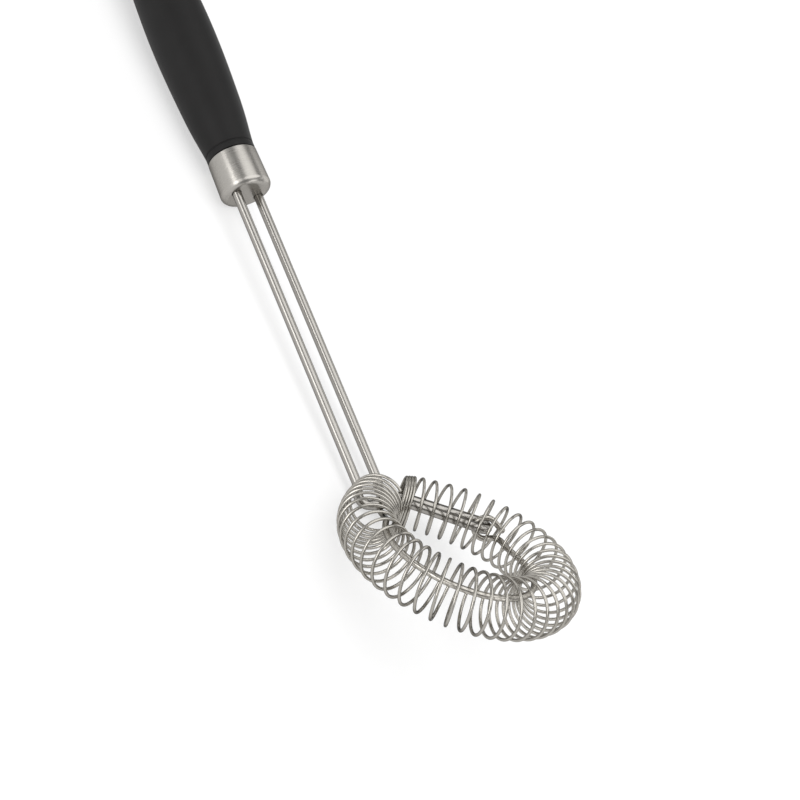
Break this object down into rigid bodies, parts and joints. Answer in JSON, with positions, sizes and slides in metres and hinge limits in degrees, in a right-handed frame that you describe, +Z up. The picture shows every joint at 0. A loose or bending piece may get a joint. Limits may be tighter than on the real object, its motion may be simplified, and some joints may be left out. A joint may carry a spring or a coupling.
{
  "type": "spiral whisk",
  "caption": "Spiral whisk: coil spring threaded on a wire loop, set at an angle on two straight wire legs, with a steel ferrule and a black soft-grip handle.",
  "frame": {"origin": "centre of the bottom of the box round the whole whisk as it lies on a table, on the lowest wire of its head and on the grip", "axes": "+X along the whisk from the coil to the butt of the grip, +Y across it, +Z up from the table"},
  "size_m": [0.3028, 0.0778, 0.0482],
  "materials": {
    "grip": "matte soft touch",
    "core": "moulded",
    "ferrule": "satin, brushed round",
    "leg_wire": "bright drawn",
    "loop_wire": "drawn",
    "coil_wire": "drawn"
  },
  "bodies": {
    "frame": {"grip": "grip", "handle_core": "core", "ferrule": "ferrule", "frame_wire": "leg_wire", "loop_wire": "loop_wire"},
    "coil": {"whisk_coil": "coil_wire"}
  },
  "joints": [
    {"name": "coil_slip", "type": "hinge", "parent": "frame", "child": "coil", "pos_m": [-0.11721, 0.00001, 0.02381], "axis": [0.5257, 0, 0.8507], "range_deg": [-3, 2]}
  ]
}
